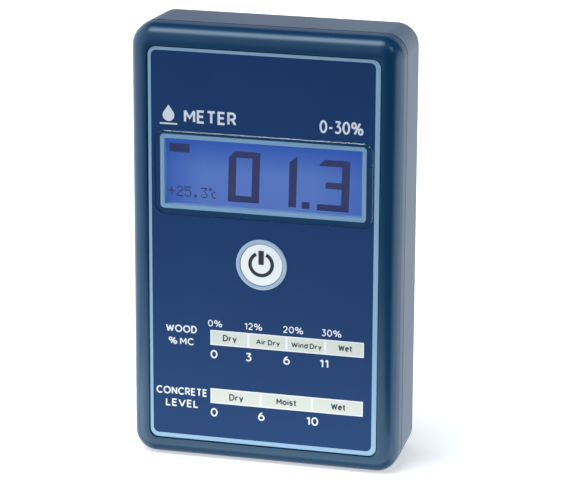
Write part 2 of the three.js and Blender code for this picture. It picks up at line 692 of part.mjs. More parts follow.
// ---------------------------------------------------------------- assembly

addCase();
addFrontPanel();
addDisplay();
addBoard();
addKey();
addElectrodes();
addBattery();
addPiece('lead_red', lead(22.4, 19), MATERIALS.redWire);
addPiece('lead_black', lead(24.6, 23), MATERIALS.blackWire);
addDoor();

export default meter;
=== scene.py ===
"""Looks of the moisture meter: shells, printed front, lit display, materials, light and camera."""

import math

import bpy
import bmesh
from mathutils import Matrix, Vector


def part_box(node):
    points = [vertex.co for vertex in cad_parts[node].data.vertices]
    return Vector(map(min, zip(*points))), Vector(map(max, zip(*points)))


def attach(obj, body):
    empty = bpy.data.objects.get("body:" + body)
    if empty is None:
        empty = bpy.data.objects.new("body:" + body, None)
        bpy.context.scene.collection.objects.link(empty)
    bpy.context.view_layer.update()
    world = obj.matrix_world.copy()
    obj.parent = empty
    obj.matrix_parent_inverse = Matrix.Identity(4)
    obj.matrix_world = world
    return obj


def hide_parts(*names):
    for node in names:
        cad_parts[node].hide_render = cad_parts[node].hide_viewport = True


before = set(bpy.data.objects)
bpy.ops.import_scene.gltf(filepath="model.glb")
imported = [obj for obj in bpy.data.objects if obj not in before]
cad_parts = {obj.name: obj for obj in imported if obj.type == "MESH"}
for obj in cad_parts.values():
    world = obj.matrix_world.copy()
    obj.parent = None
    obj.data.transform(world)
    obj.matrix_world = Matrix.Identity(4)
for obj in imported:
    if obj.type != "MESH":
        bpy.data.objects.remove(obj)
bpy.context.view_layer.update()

MM = 0.001

# ---------- places from the frame, in mm


def mm_box(node):
    low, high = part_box(node)
    return low / MM, high / MM


def middle(node):
    """The x and z of a node's middle."""
    low, high = mm_box(node)
    return (low.x + high.x) / 2, (low.z + high.z) / 2


CASE_LOW, _ = mm_box("front_cover")
_, REAR_HIGH = mm_box("rear_cover")
LABEL_LOW, LABEL_HIGH = mm_box("front_label")
WINDOW_LOW, WINDOW_HIGH = mm_box("display_window")
FRAME_LOW, FRAME_HIGH = mm_box("display_frame")
GLASS_LOW, GLASS_HIGH = mm_box("lcd_glass")
_, KEY_HIGH = mm_box("power_button")
_, BEZEL_HIGH = mm_box("button_bezel")

CASE_HALF_WIDTH = 40.0
CASE_HEIGHT = 130.0
FRONT = CASE_LOW.y
REAR = REAR_HIGH.y
PARTING = FRONT + 8.0
RIM_GAP = 0.1                      # each shell's rim stops this far from the parting plane
OUTLINE_RADIUS = 6.5
FRONT_EDGE_RADIUS = 4.6
REAR_EDGE_RADIUS = 1.6
WALL = 2.2
DRAFT = math.tan(math.radians(1.9))
RECESS_MARGIN = 0.3
RECESS_DEPTH = 0.6
LABEL_FACE = LABEL_LOW.y
LABEL_RADIUS = 2.5
WINDOW_RADIUS = 3.2
FRAME_RADIUS = 1.2
FIT_GAP = 0.15                     # air round a piece that sits in an opening
INK = 0.03                         # thickness of a printed layer
KEY_X, KEY_Z = middle("power_button")
KEY_RADIUS = 6.32
KEY_FLANGE = 7.4
KEY_FLANGE_THICKNESS = 0.75
KEY_EDGE = 0.22
KEY_CROWN = 0.16
SIGN_PROUD = 0.02                  # the sign stands this far proud of the key's crown
KEY_HOLE = 7.1                     # radius of the opening round the key ring's sleeve
PAST = 1                           # how far a cutting shape runs on past the face it opens
WELD = 0.002                       # points closer than this become one
EDGE_ANGLE = 30                    # degrees; an edge sharper than this is rounded
QUARTER_TURN = [math.radians(15 * i) for i in range(7)]

# ---------- mesh helpers


def rect(x0, x1, z0, z1, radius):
    return {"x0": x0, "x1": x1, "z0": z0, "z1": z1, "r": radius}


def grown(r, by):
    return rect(r["x0"] - by, r["x1"] + by, r["z0"] - by, r["z1"] + by, max(r["r"] + by, 0.05))


def box_rect(low, high, radius):
    return rect(low.x, high.x, low.z, high.z, radius)


def ring(r, y, steps=14):
    """The rounded rectangle's points at depth y, anticlockwise seen from the front."""
    rad = r["r"]
    corners = (
        (r["x1"] - rad, r["z0"] + rad, -90),
        (r["x1"] - rad, r["z1"] - rad, 0),
        (r["x0"] + rad, r["z1"] - rad, 90),
        (r["x0"] + rad, r["z0"] + rad, 180),
    )
    points = []
    for cx, cz, start in corners:
        for i in range(steps + 1):
            a = math.radians(start + 90 * i / steps)
            points.append(Vector((cx + rad * math.cos(a), y, cz + rad * math.sin(a))))
    return points


def circle(x, z, radius, y, steps=64):
    turns = (2 * math.pi * i / steps for i in range(steps))
    return [Vector((x + radius * math.cos(a), y, z + radius * math.sin(a))) for a in turns]


def mesh_object(name, bm):
    bmesh.ops.recalc_face_normals(bm, faces=bm.faces)
    mesh = bpy.data.meshes.new(name)
    bm.to_mesh(mesh)
    bm.free()
    obj = bpy.data.objects.new(name, mesh)
    bpy.context.scene.collection.objects.link(obj)
    return obj


def add_loft(bm, rings, closed=False):
    """Skins rings of equal length, given in mm; an open loft gets a flat cap at each end."""
    rows = [[bm.verts.new(p * MM) for p in points] for points in rings]
    pairs = list(zip(rows, rows[1:]))
    if closed:
        pairs.append((rows[-1], rows[0]))
    for low, high in pairs:
        for i in range(len(low)):
            j = (i + 1) % len(low)
            bm.faces.new((low[i], low[j], high[j], high[i]))
    if not closed:
        bm.faces.new(rows[0])
        bm.faces.new(rows[-1])


def loft(name, rings, closed=False):
    bm = bmesh.new()
    add_loft(bm, rings, closed)
    return mesh_object(name, bm)


def add_prism(bm, points, y0, y1):
    """A flat outline of (x, z) points in mm, made solid between two depths."""
    add_loft(bm, [[Vector((x, y, z)) for x, z in points] for y in (y0, y1)])


def add_block(bm, low, high):
    x0, y0, z0 = low
    x1, y1, z1 = high
    add_prism(bm, [(x0, z0), (x1, z0), (x1, z1), (x0, z1)], y0, y1)


def add_rod(bm, x, z, radius, y0, y1, steps=48):
    add_loft(bm, [circle(x, z, radius, y, steps) for y in (y0, y1)])


def add_slab(bm, outline, y0, y1, steps=14):
    """A rounded rectangle made solid between two depths."""
    add_loft(bm, [ring(outline, y, steps) for y in (y0, y1)])


def apply_modifiers(obj):
    depsgraph = bpy.context.evaluated_depsgraph_get()
    mesh = bpy.data.meshes.new_from_object(obj.evaluated_get(depsgraph))
    obj.modifiers.clear()
    obj.data = mesh
    mesh.name = obj.name


def boolean(obj, operation, add_shape, *shape):
    """Joins or cuts the solid that add_shape(bm, *shape) makes."""
    bm = bmesh.new()
    add_shape(bm, *shape)
    tool = mesh_object("tool", bm)
    step = obj.modifiers.new(operation, "BOOLEAN")
    step.operation = operation
    step.solver = "EXACT"
    step.object = tool
    bpy.context.view_layer.update()
    apply_modifiers(obj)
    bpy.data.objects.remove(tool)


def join(obj, add_shape, *shape):
    boolean(obj, "UNION", add_shape, *shape)


def cut(obj, add_shape, *shape):
    boolean(obj, "DIFFERENCE", add_shape, *shape)


def clean(obj):
    bm = bmesh.new()
    bm.from_mesh(obj.data)
    bmesh.ops.remove_doubles(bm, verts=bm.verts, dist=WELD * MM)
    bmesh.ops.dissolve_degenerate(bm, dist=WELD * MM, edges=bm.edges)
    bm.to_mesh(obj.data)
    bm.free()


def soften(obj, width=0.0):
    """Smooth shading that keeps hard edges, each with a small round if width, in mm, is given."""
    if width:
        bevel = obj.modifiers.new("edge", "BEVEL")
        bevel.width = width * MM
        bevel.segments = 3
        bevel.limit_method = "ANGLE"
        bevel.angle_limit = math.radians(EDGE_ANGLE)
        bevel.use_clamp_overlap = True
        bpy.context.view_layer.update()
        apply_modifiers(obj)
    obj.data.shade_smooth()
    obj.data.set_sharp_from_angle(angle=math.radians(EDGE_ANGLE + 10))
    weighted = obj.modifiers.new("normals", "WEIGHTED_NORMAL")
    weighted.keep_sharp = True
    bpy.context.view_layer.update()
    apply_modifiers(obj)
    return obj


def place(obj, body, material, replaces=()):
    obj.data.materials.clear()
    obj.data.materials.append(material)
    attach(obj, body)
    if replaces:
        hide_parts(*replaces)


# ---------- material helpers


def srgb(r, g, b):
    """A colour given as 0-255 screen values, as linear numbers with alpha 1."""
    def linear(v):
        v /= 255
        return v / 12.92 if v <= 0.04045 else ((v + 0.055) / 1.055) ** 2.4
    return (linear(r), linear(g), linear(b), 1.0)


class Shader:
    """A material with one Principled shader and short ways to wire nodes into it."""

    def __init__(self, name, colour, roughness, **inputs):
        self.material = bpy.data.materials.new(name)
        self.material.use_nodes = True
        self.tree = self.material.node_tree
        self.main = self.tree.nodes["Principled BSDF"]
        self.main.inputs["Base Color"].default_value = colour
        self.main.inputs["Roughness"].default_value = roughness
        for key, value in inputs.items():
            self.main.inputs[key.replace("_", " ")].default_value = value
        coordinates = self.node("ShaderNodeTexCoord")
        self.place = coordinates.outputs["Object"]

    def node(self, kind, **settings):
        made = self.tree.nodes.new(kind)
        for key, value in settings.items():
            setattr(made, key, value)
        return made

    def link(self, source, target):
        self.tree.links.new(source, target)

    def noise(self, size_mm, detail=2.0):
        """Noise with features about size_mm across."""
        texture = self.node("ShaderNodeTexNoise")
        texture.inputs["Scale"].default_value = 1 / (size_mm * MM)
        texture.inputs["Detail"].default_value = detail
        self.link(self.place, texture.inputs["Vector"])
        return texture.outputs["Fac"]

    def ramp(self, source, stops):
        made = self.node("ShaderNodeValToRGB")
        elements = made.color_ramp.elements
        while len(elements) < len(stops):
            elements.new(0.5)
        for element, (position, colour) in zip(elements, stops):
            element.position = position
            element.color = colour
        self.link(source, made.inputs["Fac"])
        return made.outputs["Color"]

    def remap(self, source, low, high, to_low, to_high):
        made = self.node("ShaderNodeMapRange")
        values = (low, high, to_low, to_high)
        for name, value in zip(("From Min", "From Max", "To Min", "To Max"), values):
            made.inputs[name].default_value = value
        self.link(source, made.inputs["Value"])
        return made.outputs["Result"]

    def mix(self, factor, a, b):
        made = self.node("ShaderNodeMix", data_type="RGBA")
        for socket, value in ((made.inputs[0], factor), (made.inputs[6], a), (made.inputs[7], b)):
            if isinstance(value, bpy.types.NodeSocket):
                self.link(value, socket)
            else:
                socket.default_value = value
        return made.outputs[2]

    def colour(self, source):
        self.link(source, self.main.inputs["Base Color"])

    def roughness(self, source):
        self.link(source, self.main.inputs["Roughness"])

    def bump(self, source, height_mm, strength=1.0):
        made = self.node("ShaderNodeBump")
        made.inputs["Distance"].default_value = height_mm * MM
        made.inputs["Strength"].default_value = strength
        previous = self.main.inputs["Normal"]
        if previous.is_linked:
            self.link(previous.links[0].from_socket, made.inputs["Normal"])
        self.link(source, made.inputs["Height"])
        self.link(made.outputs["Normal"], previous)


def scaled(colour, by):
    return tuple(min(c * by, 1.0) for c in colour[:3]) + (1.0,)


# ---------- materials

CASE_BLUE = srgb(7, 54, 90)
LABEL_NAVY = srgb(20, 55, 102)
BORDER_BLUE = srgb(130, 168, 199)
PRINT_WHITE = srgb(208, 217, 230)
PRINT_DARK = srgb(40, 56, 70)
FRAME_BLUE = srgb(150, 186, 216)
WINDOW_NAVY = srgb(22, 70, 110)
SCALE_GREY = srgb(191, 201, 199)


def moulded_plastic(name, colour, roughness, grain=0.16, depth=0.012, **inputs):
    """Injection-moulded plastic: fine even grain, with faint changes of tone and of gloss."""
    inputs.setdefault("Specular_IOR_Level", 0.2)
    s = Shader(name, colour, roughness, **inputs)
    fine = s.noise(grain, detail=3)
    broad = s.noise(22, detail=2)
    s.bump(fine, depth, 0.8)
    s.colour(s.ramp(broad, [(0.3, scaled(colour, 0.95)), (0.7, scaled(colour, 1.05))]))
    patches = s.noise(14, detail=1)
    s.roughness(s.remap(patches, 0.1, 0.9, roughness - 0.02, roughness + 0.02))
    return s.material


def label_film():
    """Velvet polycarbonate film with its navy print behind it."""
    s = Shader("label_film", LABEL_NAVY, 0.5, Specular_IOR_Level=0.12)
    velvet = s.noise(0.09, detail=2)
    s.bump(velvet, 0.006, 0.7)
    tone = s.noise(30, detail=1)
    s.colour(s.ramp(tone, [(0.3, scaled(LABEL_NAVY, 0.96)), (0.7, scaled(LABEL_NAVY, 1.04))]))
    s.roughness(s.remap(s.noise(6, detail=3), 0.3, 0.7, 0.46, 0.55))
    return s.material


def ink(name, colour, roughness=0.5):
    s = Shader(name, colour, roughness, Specular_IOR_Level=0.2)
    s.bump(s.noise(0.09, detail=2), 0.006, 0.6)
    screen = s.noise(0.5, detail=2)
    s.colour(s.ramp(screen, [(0.3, scaled(colour, 0.97)), (0.7, scaled(colour, 1.02))]))
    return s.material


def clear_window():
    """Polished clear acrylic: it mirrors a little head-on and more at a glancing angle."""
    s = Shader("clear_window", (0.95, 0.97, 1.0, 1.0), 0.05, Metallic=1.0)
    glancing = s.node("ShaderNodeLayerWeight").outputs["Facing"]
    steep = s.node("ShaderNodeMath", operation="POWER")
    steep.inputs[1].default_value = 5
    s.link(glancing, steep.inputs[0])
    clear = s.node("ShaderNodeBsdfTransparent")
    clear.inputs["Color"].default_value = (0.95, 0.97, 0.99, 1.0)
    mixed = s.node("ShaderNodeMixShader")
    s.link(s.remap(steep.outputs[0], 0, 1, 0.04, 1), mixed.inputs[0])
    s.link(clear.outputs[0], mixed.inputs[1])
    s.link(s.main.outputs[0], mixed.inputs[2])
    s.link(mixed.outputs[0], s.tree.nodes["Material Output"].inputs["Surface"])
    s.roughness(s.remap(s.noise(8, detail=3), 0.3, 0.7, 0.04, 0.07))
    return s.material


# How far in from each edge the painted shade of the frame fades out and the glow reaches full
# strength, in mm.
FRAME_SHADE_LEFT = 14
FRAME_SHADE_RIGHT = 18
FRAME_SHADE_TOP = (3, 12)


def lit_display():
    """Blue backlit liquid crystal: lighter in the middle, darker towards the top and both sides,
    where the frame's shade is painted into the glow.
    """
    deep = srgb(48, 92, 184)
    pale = srgb(94, 128, 204)
    s = Shader("lit_display", (0.01, 0.015, 0.05, 1.0), 0.25)
    split = s.node("ShaderNodeSeparateXYZ")
    s.link(s.place, split.inputs[0])
    left, right = GLASS_LOW.x * MM, GLASS_HIGH.x * MM
    dark, full = ((GLASS_HIGH.z - down) * MM for down in FRAME_SHADE_TOP)
    from_left = s.remap(split.outputs["X"], left, left + FRAME_SHADE_LEFT * MM, 0, 1)
    from_right = s.remap(split.outputs["X"], right, right - FRAME_SHADE_RIGHT * MM, 0.4, 1)
    from_top = s.remap(split.outputs["Z"], dark, full, 0, 1)
    level = from_left
    for share in (from_top, from_right):
        product = s.node("ShaderNodeMath", operation="MULTIPLY")
        s.link(level, product.inputs[0])
        s.link(share, product.inputs[1])
        level = product.outputs[0]
    # the emitted colour carries the painted shade of the frame near the top and both sides
    glow = s.ramp(level, [(0.0, deep), (1.0, pale)])
    s.link(glow, s.main.inputs["Emission Color"])
    s.main.inputs["Emission Strength"].default_value = 0.85
    return s.material


def segment_material():
    """Lit segments let a little of the backlight through, so they read as deep violet."""
    s = Shader("segment_dark", (0.01, 0.01, 0.02, 1.0), 0.4)
    deep, deeper = srgb(46, 54, 108), srgb(40, 46, 96)
    s.link(s.ramp(s.noise(0.5, detail=2), [(0.3, deeper), (0.7, deep)]),
           s.main.inputs["Emission Color"])
    s.main.inputs["Emission Strength"].default_value = 0.8
    return s.material


def metal(name, colour, roughness, grain=0.3):
    s = Shader(name, colour, roughness, Metallic=1.0)
    s.bump(s.noise(grain, detail=3), 0.004, 0.5)
    s.roughness(s.remap(s.noise(2.5, detail=3), 0.3, 0.7, roughness - 0.06, roughness + 0.1))
    return s.material


def circuit_board_material():
    """Green solder mask over a faint maze of copper tracks."""
    s = Shader("board", srgb(20, 84, 48), 0.35)
    tracks = s.node("ShaderNodeTexBrick")
    tracks.inputs["Scale"].default_value = 240
    tracks.inputs["Mortar Size"].default_value = 0.06
    s.link(s.place, tracks.inputs["Vector"])
    s.colour(s.ramp(tracks.outputs["Fac"], [(0.0, srgb(18, 78, 44)), (1.0, srgb(40, 118, 66))]))
    s.bump(tracks.outputs["Fac"], 0.03)
    return s.material


BATTERY_BAND = 9.5                 # the x where the jacket's metallic band begins


def battery_print():
    """Dark printed steel jacket with a metallic band at the terminal end."""
    s = Shader("battery_print", srgb(40, 44, 52), 0.3, Metallic=0.6)
    split = s.node("ShaderNodeSeparateXYZ")
    s.link(s.place, split.inputs[0])
    band = s.remap(split.outputs["X"], BATTERY_BAND * MM, (BATTERY_BAND + 0.5) * MM, 0, 1)
    s.colour(s.mix(band, srgb(38, 42, 50), srgb(196, 160, 92)))
    s.roughness(s.remap(s.noise(3, detail=3), 0.3, 0.7, 0.25, 0.38))
    return s.material


MATERIALS = {
    "case": moulded_plastic("case_plastic", CASE_BLUE, 0.29, Specular_IOR_Level=0.46,
                            Specular_Tint=(0.78, 0.96, 1.0, 1.0)),
    "label": label_film(),
    "border_ink": ink("border_ink", BORDER_BLUE),
    "white_ink": ink("white_ink", PRINT_WHITE),
    "dark_ink": ink("dark_ink", PRINT_DARK),
    "scale_ink": ink("scale_ink", SCALE_GREY),
    "window": clear_window(),
    "display_frame": moulded_plastic("display_frame_blue", FRAME_BLUE, 0.4, depth=0.004),
    "display": lit_display(),
    "segments": segment_material(),
    "window_print": ink("window_print", WINDOW_NAVY, 0.3),
    "light_guide": moulded_plastic("light_guide", srgb(190, 208, 246), 0.3, depth=0.002),
    "black": moulded_plastic("black_plastic", srgb(26, 27, 30), 0.45, depth=0.006),
    "strip": moulded_plastic("strip_rubber", srgb(222, 158, 168), 0.6, depth=0.004),
    "board": circuit_board_material(),
    "can": metal("capacitor_can", srgb(192, 194, 198), 0.28),
    "key": moulded_plastic("key_white", srgb(224, 233, 241), 0.38, grain=0.12, depth=0.004),
    "key_sign": ink("key_sign_dark", srgb(44, 50, 62), 0.4),
    "bezel": moulded_plastic("bezel_grey_blue", srgb(152, 177, 203), 0.36, depth=0.004),
    "electrode": moulded_plastic("electrode_rubber", srgb(38, 39, 42), 0.72, grain=0.3, depth=0.03),
    "brass": metal("post_brass", srgb(202, 164, 92), 0.3),
    "steel": metal("screw_steel", srgb(188, 190, 194), 0.3),
    "battery": battery_print(),
    "cells": moulded_plastic("battery_cells", srgb(34, 34, 34), 0.5, depth=0.004),
    "red_wire": moulded_plastic("red_wire", srgb(178, 30, 34), 0.42, depth=0.003),
    "black_wire": moulded_plastic("black_wire", srgb(24, 24, 26), 0.42, depth=0.003),
    "foam": moulded_plastic("foam", srgb(58, 60, 64), 0.92, grain=0.5, depth=0.12),
}

# ---------- case shells


def case_rect(inset, y):
    """The case's outline at a depth: the sides and top lean in away from the parting line."""
    lean = DRAFT * abs(y - PARTING)
    half = CASE_HALF_WIDTH - inset - lean
    return rect(-half, half, inset, CASE_HEIGHT - inset - lean, max(OUTLINE_RADIUS - inset, 0.4))


def case_ring(inset, y):
    return ring(case_rect(inset, y), y)


def rounded_edge(radius, y_face, direction, steps):
    """Rings round the edge between the sides and a face; direction is the face's way, -1 or 1."""
    rings = []
    for i in range(steps + 1):
        a = math.radians(90 * i / steps)
        inset = radius * (1 - math.cos(a))
        y = y_face - direction * radius * (1 - math.sin(a))
        rings.append(case_ring(inset, y))
    return rings


LABEL_RECT = box_rect(LABEL_LOW, LABEL_HIGH, LABEL_RADIUS)
WINDOW_RECT = box_rect(WINDOW_LOW, WINDOW_HIGH, WINDOW_RADIUS)
FRAME_RECT = box_rect(FRAME_LOW, FRAME_HIGH, FRAME_RADIUS)


def screw_places(kind):
    """The x and z of four screws: 1 and 2 at one height, 3 and 4 at the other."""
    x, _ = middle(f"{kind}_2")
    return [(side * x, middle(f"{kind}_{i}")[1]) for i in (1, 3) for side in (-1, 1)]


FRONT_WALL = 2.4
THROUGH_WALL = 4                   # depth of an opening cut through the front wall
POST_ROOT = 0.4                    # how far a post runs into the wall it stands on
CASE_POST = {"radius": 3.6, "pilot": 1.5, "through": 1.65}
BOARD_POST = {"radius": 2.6, "pilot": 1.1, "end": GLASS_HIGH.y + 2.85}
COUNTERBORE = {"radius": 2.9, "mouth": 3.15, "depth": 3.2, "flare": 0.25}
TONGUE = {"inset": 1.2, "length": 1.6}
GROOVE = {"inset": 1.05, "depth": 1.9}
RIM_ROUND = ((0.2, 0), (0.06, 0.06), (0, 0.2))
RECESS_ROUND = ((0.14, 0), (0.04, 0.04), (0, 0.14))


def rim_round(rim, direction):
    """The small round on a shell's rim, from pairs of inset and distance from the rim."""
    return [case_ring(inset, rim + direction * away) for inset, away in RIM_ROUND]


def front_shell():
    rim = PARTING - RIM_GAP
    inner_wall = FRONT + FRONT_WALL
    groove = rim - GROOVE["depth"]
    recess = grown(LABEL_RECT, RECESS_MARGIN)
    rings = [
        case_ring(WALL, inner_wall),
        case_ring(WALL, groove),
        case_ring(GROOVE["inset"], groove),
        case_ring(GROOVE["inset"], rim),
    ]
    rings += rim_round(rim, -1)
    rings += rounded_edge(FRONT_EDGE_RADIUS, FRONT, -1, 16)
    rings += [ring(grown(recess, by), FRONT + deep) for by, deep in RECESS_ROUND]
    rings.append(ring(recess, FRONT + RECESS_DEPTH))
    shell = loft("front_shell", rings)
    posts = [(x, z, CASE_POST, rim) for x, z in screw_places("case_screw")]
    posts += [(x, z, BOARD_POST, BOARD_POST["end"]) for x, z in screw_places("board_screw")]
    for x, z, post, end in posts:
        join(shell, add_rod, x, z, post["radius"], inner_wall - POST_ROOT, end)
    for x, z, post, end in posts:
        cut(shell, add_rod, x, z, post["pilot"], inner_wall, end + PAST, 24)
    cut(shell, add_slab, grown(WINDOW_RECT, FIT_GAP), FRONT - PAST, WINDOW_HIGH.y + 0.05)
    cut(shell, add_slab, grown(FRAME_RECT, FIT_GAP), FRONT - PAST, FRONT + THROUGH_WALL)
    cut(shell, add_rod, KEY_X, KEY_Z, KEY_HOLE, FRONT - PAST, FRONT + THROUGH_WALL, 64)
    clean(shell)
    place(soften(shell), "case", MATERIALS["case"], ["front_cover"])


ELECTRODES = [mm_box("electrode_left"), mm_box("electrode_right")]
ELECTRODE_RADIUS = 2.0
HINGE_RADIUS = 2.05
HINGE_Y = REAR - HINGE_RADIUS
HINGE_Z = 6.5
BAY = {"x": 26.3, "z0": 4.15, "z1": 35.0, "floor": -8.0, "wall": 2.4, "top_wall": 2.9}
BAY_FLOOR_WALL = 1.4
BAY_RIB = {"x": 14, "half": 0.8, "back": 8.4, "top": 6.95}
LEAD_SLOT = {"x0": 20.8, "x1": 26.2, "back": 2.2}
DOOR_GAP = 0.3
DOOR_HALF = 27.5
DOOR_TOP = 36.2


def add_bay_block(bm):
    outer = BAY["x"] + BAY["wall"]
    top = BAY["z1"] + BAY["top_wall"]
    rim = PARTING + RIM_GAP
    add_block(bm, (-outer, BAY["floor"] - BAY_FLOOR_WALL, WALL + 0.5), (outer, rim + 0.5, top))
    add_block(bm, (-outer, rim + 0.2, WALL - 0.3), (outer, REAR - WALL + 0.3, top))


def bay_openings():
    """The corners of each block that is cut out for the battery, the hinge and the leads."""
    half = DOOR_HALF + DOOR_GAP
    reach = HINGE_RADIUS + DOOR_GAP
    x, floor_y, foot, top = (BAY[k] for k in ("x", "floor", "z0", "z1"))
    battery = ((-x, floor_y, foot), (x, REAR + PAST, top))
    hinge = ((-half, HINGE_Y - reach, foot), (half, REAR + PAST, HINGE_Z + reach))
    leads = ((LEAD_SLOT["x0"], floor_y, top - PAST), (LEAD_SLOT["x1"], LEAD_SLOT["back"], top + 5))
    return battery, hinge, leads


def add_electrode_seats(bm):
    for low, high in ELECTRODES:
        seat = grown(box_rect(low, high, ELECTRODE_RADIUS), FIT_GAP)
        add_slab(bm, seat, low.y - 0.05, REAR + PAST)


def add_counterbore(bm, x, z):
    radius, mouth = COUNTERBORE["radius"], COUNTERBORE["mouth"]
    add_loft(bm, [
        circle(x, z, radius, REAR - COUNTERBORE["depth"]),
        circle(x, z, radius, REAR - COUNTERBORE["flare"]),
        circle(x, z, mouth, REAR),
        circle(x, z, mouth, REAR + PAST),
    ])


def rear_shell():
    rim = PARTING + RIM_GAP
    inner_wall = REAR - WALL
    tongue_end = PARTING - RIM_GAP - TONGUE["length"]
    rings = [
        case_ring(WALL, inner_wall),
        case_ring(WALL, tongue_end),
        case_ring(TONGUE["inset"], tongue_end),
        case_ring(TONGUE["inset"], rim),
    ]
    rings += rim_round(rim, 1)
    rings += rounded_edge(REAR_EDGE_RADIUS, REAR, 1, 10)
    shell = loft("rear_shell", rings)
    screws = screw_places("case_screw")
    for x, z in screws:
        join(shell, add_rod, x, z, CASE_POST["radius"], rim, inner_wall + POST_ROOT)
    join(shell, add_bay_block)
    battery, hinge, leads = bay_openings()
    half = DOOR_HALF + DOOR_GAP
    door = rect(-half, half, BAY["z0"], DOOR_TOP + DOOR_GAP, 0.6)
    cut(shell, add_block, *battery)
    cut(shell, add_slab, door, inner_wall - 0.1, REAR + PAST, 4)
    cut(shell, add_block, *hinge)
    cut(shell, add_block, *leads)
    cut(shell, add_electrode_seats)
    for x, z in screws:
        cut(shell, add_rod, x, z, CASE_POST["through"], rim - PAST, REAR, 24)
        cut(shell, add_counterbore, x, z)
    for x in (-BAY_RIB["x"], BAY_RIB["x"]):
        low = (x - BAY_RIB["half"], BAY["floor"] - 0.2, BAY["z0"] - 0.2)
        high = (x + BAY_RIB["half"], BAY_RIB["back"], BAY_RIB["top"])
        join(shell, add_block, low, high)
    clean(shell)
    place(soften(shell), "case", MATERIALS["case"], ["rear_cover"])


NOTCH = {"radius": 8, "above": 3.5, "depth": 0.9}
RIDGES = {"count": 3, "first": 8.5, "pitch": 2.2, "half": 7, "thick": 0.9, "proud": 0.3}
CATCH = {"half": 4, "reach": 1.5, "low": 1.2, "high": 0.3}
PIN = {"radius": 0.9, "inner": 1, "outer": 1.9}


def add_door_ridges(bm):
    for i in range(RIDGES["count"]):
        z = DOOR_TOP - RIDGES["first"] - RIDGES["pitch"] * i
        half, thick = RIDGES["half"] - i, RIDGES["thick"] / 2
        ridge = rect(-half, half, z - thick, z + thick, 0.4)
        add_slab(bm, ridge, REAR - RIDGES["proud"], REAR + RIDGES["proud"], 6)


def add_hinge_pin(bm, side):
    turns = [2 * math.pi * i / 24 for i in range(24)]
    add_loft(bm, [[Vector((side * x, HINGE_Y + PIN["radius"] * math.cos(a),
                           HINGE_Z + PIN["radius"] * math.sin(a))) for a in turns]
                  for x in (DOOR_HALF - PIN["inner"], DOOR_HALF + PIN["outer"])])


def battery_door():
    """A flat plate with a round hinge edge, a nail notch and three grip ridges."""
    inner = REAR - WALL
    hinge_edge = [(HINGE_Y + HINGE_RADIUS * math.cos(a), HINGE_Z + HINGE_RADIUS * math.sin(a))
                  for a in (math.radians(-90 + 9 * i) for i in range(11))]
    outline = [(inner, DOOR_TOP), (inner, HINGE_Z + 1.6), (HINGE_Y - 1.1, HINGE_Z + 0.5),
               (HINGE_Y - 1.1, HINGE_Z - 0.5)] + hinge_edge + [(REAR, DOOR_TOP)]
    door = loft("battery_door_panel", [[Vector((x, y, z)) for y, z in outline]
                                       for x in (-DOOR_HALF, DOOR_HALF)])
    notch_z = DOOR_TOP + NOTCH["above"]
    cut(door, add_rod, 0, notch_z, NOTCH["radius"], REAR - NOTCH["depth"], REAR + PAST, 96)
    join(door, add_door_ridges)
    catch_low = (-CATCH["half"], inner - CATCH["reach"], BAY["z1"] - CATCH["low"])
    catch_high = (CATCH["half"], inner + 0.3, BAY["z1"] - CATCH["high"])
    join(door, add_block, catch_low, catch_high)
    for side in (-1, 1):
        join(door, add_hinge_pin, side)
    clean(door)
    place(soften(door, 0.15), "door", MATERIALS["case"], ["battery_door"])


# ---------- front label and its print


def label_sheet():
    back = LABEL_HIGH.y
    sheet = loft("label_sheet", [
        ring(LABEL_RECT, back),
        ring(LABEL_RECT, LABEL_FACE + 0.05),
        ring(grown(LABEL_RECT, -0.05), LABEL_FACE),
    ])
    cut(sheet, add_slab, grown(WINDOW_RECT, 0.04), FRONT - PAST, back + PAST)
    cut(sheet, add_rod, KEY_X, KEY_Z, KEY_HOLE, FRONT - PAST, back + PAST, 64)
    clean(sheet)
    place(soften(sheet), "case", MATERIALS["label"], ["front_label"])


def add_frame_print(bm, outer, inner, y_top, y_back, steps=14):
    """A flat printed frame between two rounded rectangles."""
    add_loft(bm, [ring(outer, y_top, steps), ring(outer, y_back, steps),
                  ring(inner, y_back, steps), ring(inner, y_top, steps)], closed=True)


INK_TOP = LABEL_FACE - INK


BORDER_OUTER = rect(-34.3, 34.0, 5.75, 123.85, 2.45)
BORDER_INNER = rect(-33.4, 32.6, 7.05, 122.9, 1.7)


def label_border():
    bm = bmesh.new()
    add_frame_print(bm, BORDER_OUTER, BORDER_INNER, INK_TOP, LABEL_FACE)
    border = mesh_object("label_border", bm)
    place(soften(border), "case", MATERIALS["border_ink"])


SCALES = (
    {"z0": 35.6, "z1": 40.2, "x0": -15.9, "x1": 30.1, "dividers": (-4.4, 7.05, 18.65)},
    {"z0": 17.6, "z1": 22.2, "x0": -15.9, "x1": 30.0, "dividers": (-0.66, 14.8)},
)
SCALE_LINE = 0.35
DIVIDER = 0.7


def scale_cells(scale):
    """The x ranges of the pale cells between a scale's frame and dividers."""
    edges = [scale["x0"] + SCALE_LINE - DIVIDER / 2, *scale["dividers"],
             scale["x1"] - SCALE_LINE + DIVIDER / 2]
    return [(a + DIVIDER / 2, b - DIVIDER / 2) for a, b in zip(edges, edges[1:])]


